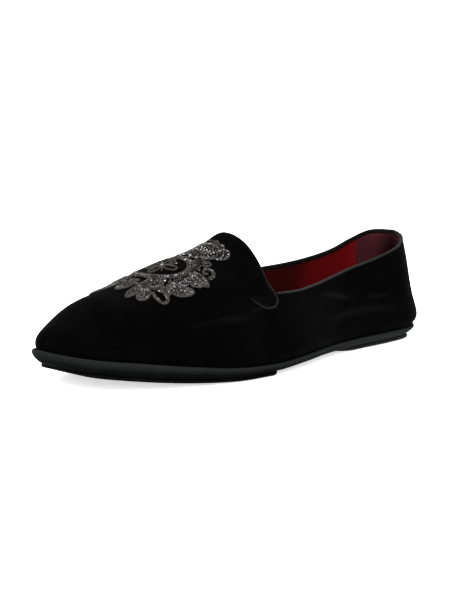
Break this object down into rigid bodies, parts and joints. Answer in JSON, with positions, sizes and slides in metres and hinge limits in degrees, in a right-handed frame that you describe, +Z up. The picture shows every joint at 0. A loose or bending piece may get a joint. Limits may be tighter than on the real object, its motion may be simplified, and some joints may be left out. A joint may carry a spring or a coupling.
{
  "type": "slipper",
  "caption": "Left velvet slipper with a raised tongue, an embroidered vamp, bound collar and tongue edges, a hollow upper and a thin rubber sole with separate tread pads.",
  "frame": {"origin": "on the floor under the middle of the shoe's box", "axes": "-X to the toe, +X to the heel, -Y to the outer (lateral) side, +Y to the inner (medial) side, +Z up"},
  "size_m": [0.2894, 0.106, 0.0766],
  "materials": {
    "velvet": "black cotton velvet with a short soft pile",
    "piping": "charcoal grosgrain edge binding",
    "rubber": "matt charcoal rubber rim",
    "black_rubber": "matt black rubber with a fine tread",
    "red_leather": "smooth red lining leather",
    "metal_thread": "pewter beads and metal thread, slightly shiny"
  },
  "bodies": {
    "root": {"upper": "velvet", "outsole": "rubber", "forefoot_tread": "black_rubber", "heel_tread": "black_rubber", "insole": "red_leather", "collar_binding": "piping", "throat_binding": "piping", "embroidery": "metal_thread"}
  },
  "joints": []
}
